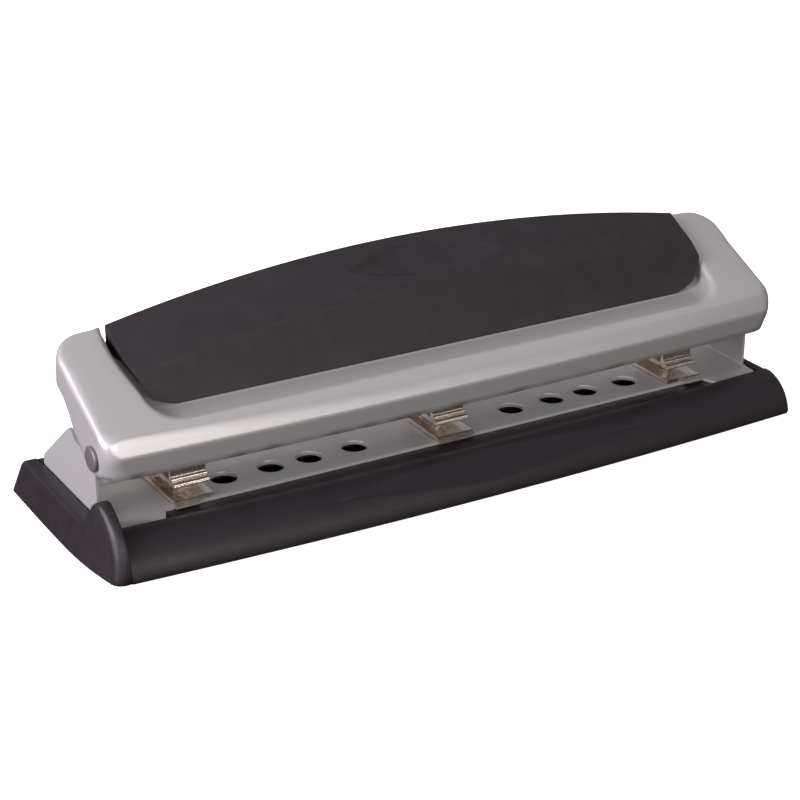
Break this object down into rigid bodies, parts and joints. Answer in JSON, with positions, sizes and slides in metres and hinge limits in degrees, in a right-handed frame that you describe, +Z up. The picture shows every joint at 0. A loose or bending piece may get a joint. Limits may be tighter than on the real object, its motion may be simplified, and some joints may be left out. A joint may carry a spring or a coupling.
{
  "type": "three hole punch",
  "caption": "Desktop paper punch: a sprung, pivoted handle with a palm pad over sliding punch heads, on a steel plate and plastic base with a pull-out chip drawer.",
  "frame": {"origin": "middle of the footprint, on the table", "axes": "+X to the punch's right as its user faces it, +Y to its rear, +Z up"},
  "size_m": [0.296, 0.095, 0.0844],
  "materials": {
    "silver_paint": "satin silver-grey metallic paint",
    "plate_paint": "satin grey metallic paint",
    "rivet_paint": "dull grey",
    "pad_plastic": "matte moulded plastic",
    "black_plastic": "satin moulded plastic",
    "nickel": "nickel plate",
    "tool_steel": "ground steel",
    "spring_steel": "drawn wire",
    "zinc_steel": "zinc plate",
    "rubber": "soft rubber"
  },
  "bodies": {
    "base": {"base_plate": "plate_paint", "base_moulding": "black_plastic", "rubber_feet": "rubber", "plate_screws": "zinc_steel", "rail_screws": "zinc_steel", "guide_rail": "zinc_steel", "pivot_rivet_left": "rivet_paint", "pivot_rivet_right": "rivet_paint", "pivot_washer_left": "zinc_steel", "pivot_washer_right": "zinc_steel"},
    "handle": {"handle_shell": "silver_paint", "handle_pad": "pad_plastic", "press_bar": "zinc_steel", "pad_screws": "zinc_steel"},
    "drawer": {"chip_drawer": "black_plastic"},
    "head_left": {"head_frame_left": "nickel", "pin_spring_left": "spring_steel"},
    "pin_left": {"punch_pin_left": "tool_steel", "pin_collar_left": "zinc_steel"},
    "head_middle": {"head_frame_middle": "nickel", "pin_spring_middle": "spring_steel"},
    "pin_middle": {"punch_pin_middle": "tool_steel", "pin_collar_middle": "zinc_steel"},
    "head_right": {"head_frame_right": "nickel", "pin_spring_right": "spring_steel"},
    "pin_right": {"punch_pin_right": "tool_steel", "pin_collar_right": "zinc_steel"}
  },
  "joints": [
    {"name": "handle_press", "type": "hinge", "parent": "base", "child": "handle", "pos_m": [0.0028, -0.02, 0.0393], "axis": [-1, 0, 0], "range_deg": [0, 24], "stiffness_Nm_per_rad": 0.5, "springref_deg": -25.78},
    {"name": "chip_drawer_slide", "type": "slide", "parent": "base", "child": "drawer", "axis": [-1, 0, 0], "range_m": [0, 0.24]},
    {"name": "head_left_slide", "type": "slide", "parent": "base", "child": "head_left", "axis": [1, 0, 0], "range_m": [0, 0.05147]},
    {"name": "head_middle_slide", "type": "slide", "parent": "base", "child": "head_middle", "axis": [1, 0, 0], "range_m": [-0.03742, 0.03243]},
    {"name": "head_right_slide", "type": "slide", "parent": "base", "child": "head_right", "axis": [-1, 0, 0], "range_m": [0, 0.05647]},
    {"name": "pin_left_slide", "type": "slide", "parent": "head_left", "child": "pin_left", "axis": [0, 0, -1], "range_m": [0, 0.00615], "deforming": ["pin_spring_left"]},
    {"name": "pin_middle_slide", "type": "slide", "parent": "head_middle", "child": "pin_middle", "axis": [0, 0, -1], "range_m": [0, 0.00615], "deforming": ["pin_spring_middle"]},
    {"name": "pin_right_slide", "type": "slide", "parent": "head_right", "child": "pin_right", "axis": [0, 0, -1], "range_m": [0, 0.00615], "deforming": ["pin_spring_right"]}
  ],
  "couplings": [
    {"joint": "pin_left_slide", "follows": "handle_press", "m_per_rad": 0.014563},
    {"joint": "pin_middle_slide", "follows": "handle_press", "m_per_rad": 0.014563},
    {"joint": "pin_right_slide", "follows": "handle_press", "m_per_rad": 0.014563}
  ]
}
